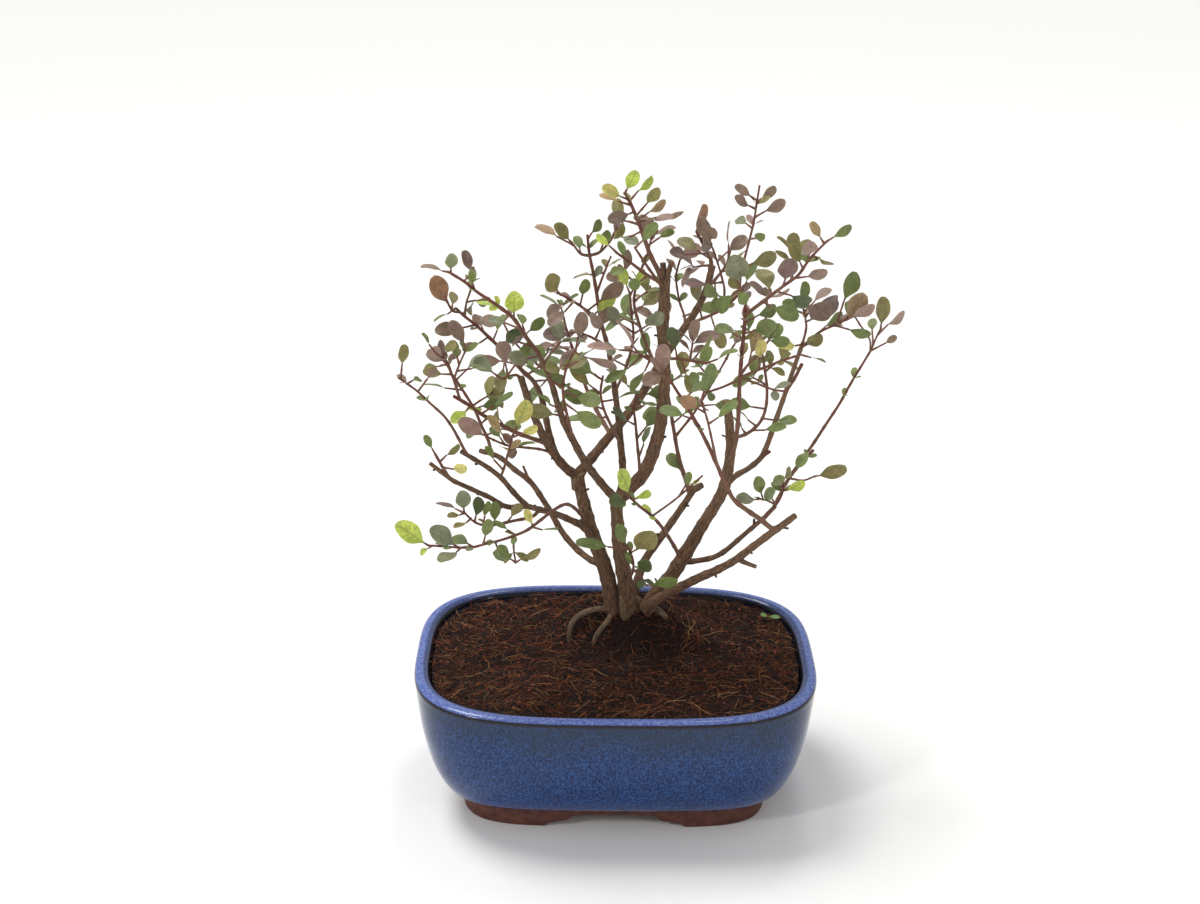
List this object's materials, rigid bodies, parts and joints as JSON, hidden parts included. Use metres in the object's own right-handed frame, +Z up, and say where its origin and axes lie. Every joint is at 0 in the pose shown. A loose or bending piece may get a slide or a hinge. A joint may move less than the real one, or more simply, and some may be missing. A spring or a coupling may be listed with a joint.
{
  "type": "myrtle bonsai in pot",
  "caption": "New Zealand myrtle bonsai with bare forking stems and small rounded green, olive and bronze leaves, in a rounded blue glazed pot of coir compost.",
  "frame": {"origin": "middle of the footprint of the whole bonsai, on the surface that the pot stands on", "axes": "+Z up, +X to the right along the pot's long side as seen from the front, +Y away from the viewer"},
  "size_m": [0.243, 0.16, 0.3202],
  "materials": {
    "glazed_stoneware": "glossy mottled blue glaze with an unglazed red-brown clay foot",
    "screen": "matte dark mesh",
    "compost": "rough coir fibre and peat",
    "bark": "fibrous brown-grey bark",
    "leaf_lime": "lime yellow leaf blades on red-brown twigs, slightly glossy",
    "leaf_olive": "olive leaf blades on red-brown twigs, slightly glossy",
    "leaf_green": "mid green leaf blades on red-brown twigs, slightly glossy",
    "leaf_pink": "pinkish bronze leaf blades on red-brown twigs, slightly glossy",
    "leaf_bronze": "bronze purple leaf blades on red-brown twigs, slightly glossy",
    "leaf_grey": "grey green leaf blades on red-brown twigs, slightly glossy"
  },
  "bodies": {
    "root": {"apex_limb": "leaf_lime", "apex_side_shoots": "leaf_olive", "centre_low_spray": "leaf_green", "centre_middle_spray": "leaf_green", "centre_pink_spray": "leaf_pink", "centre_right_spray": "leaf_bronze", "centre_top_limb": "leaf_olive", "centre_twig": "leaf_grey", "compost": "compost", "diagonal_high_limb": "leaf_bronze", "diagonal_low_limb": "leaf_bronze", "drain_screen_left": "screen", "drain_screen_right": "screen", "foot_shoots": "leaf_green", "front_cross_limb": "leaf_lime", "inner_right_twig": "leaf_green", "left_arm": "leaf_green", "left_back_limb": "leaf_green", "left_bright_shoot": "leaf_lime", "left_feeler": "leaf_green", "left_fork_limb": "leaf_green", "left_inner_twig": "leaf_bronze", "left_low_shoots": "leaf_olive", "left_top_limb": "leaf_lime", "left_upper_limb": "leaf_bronze", "low_left_high_spray": "leaf_olive", "low_left_long_spray": "leaf_green", "pot": "glazed_stoneware", "rear_front_limb": "leaf_bronze", "rear_left_limb": "leaf_green", "rear_limb": "leaf_green", "rear_top_limb": "leaf_bronze", "rear_top_shoot": "leaf_bronze", "right_cross_limb": "leaf_green", "right_inner_limb": "leaf_green", "right_light_limb": "leaf_bronze", "right_long_limb": "leaf_green", "right_low_spray": "leaf_green", "right_upright_limb": "leaf_bronze", "trunk": "bark"}
  },
  "joints": []
}
